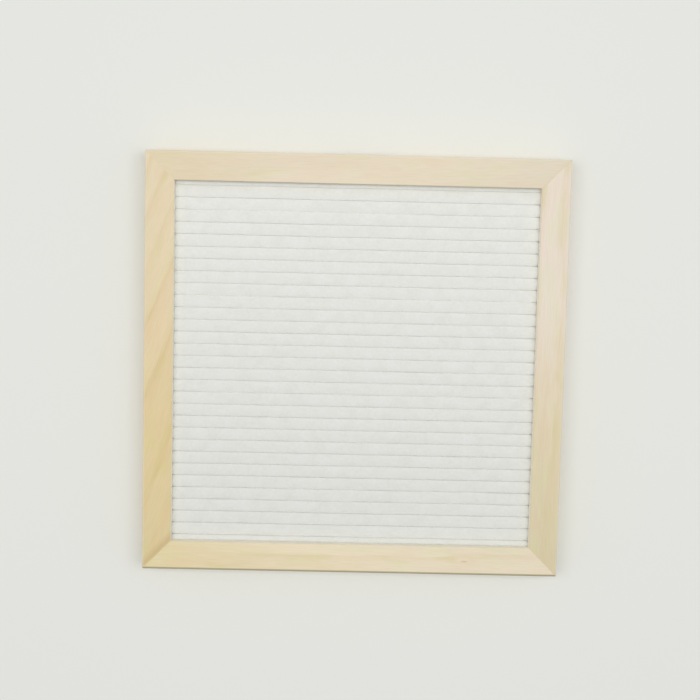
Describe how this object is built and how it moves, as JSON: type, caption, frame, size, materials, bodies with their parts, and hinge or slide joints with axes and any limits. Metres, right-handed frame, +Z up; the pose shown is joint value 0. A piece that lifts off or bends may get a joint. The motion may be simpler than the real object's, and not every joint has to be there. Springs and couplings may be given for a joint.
{
  "type": "wooden letter board",
  "caption": "Square pale wood frame with mitred corners round a white felt board with level ribs and slots for push-in letters.",
  "frame": {"origin": "middle of the frame's bottom edge, halfway through its depth", "axes": "+X to the right across the board, +Z up, the felt faces -Y and the frame's back faces +Y"},
  "size_m": [0.254, 0.0204, 0.254],
  "materials": {
    "pale_pine": "bare sanded softwood",
    "white_felt": "pressed felt",
    "board_plastic": "extruded, matt",
    "hardboard": "pressed wood fibre",
    "zinc_steel": "zinc plated"
  },
  "bodies": {
    "root": {"rail_top": "pale_pine", "rail_bottom": "pale_pine", "rail_left": "pale_pine", "rail_right": "pale_pine", "felt_facing": "white_felt", "slotted_board": "board_plastic", "back_panel": "hardboard", "framing_point_bottom_a": "zinc_steel", "framing_point_bottom_b": "zinc_steel", "framing_point_top_a": "zinc_steel", "framing_point_top_b": "zinc_steel", "framing_point_left_a": "zinc_steel", "framing_point_left_b": "zinc_steel", "framing_point_right_a": "zinc_steel", "framing_point_right_b": "zinc_steel", "v_nail_bottom_left": "zinc_steel", "v_nail_bottom_right": "zinc_steel", "v_nail_top_left": "zinc_steel", "v_nail_top_right": "zinc_steel", "sawtooth_hanger": "zinc_steel", "hanger_nail_left": "zinc_steel", "hanger_nail_right": "zinc_steel"}
  },
  "joints": []
}
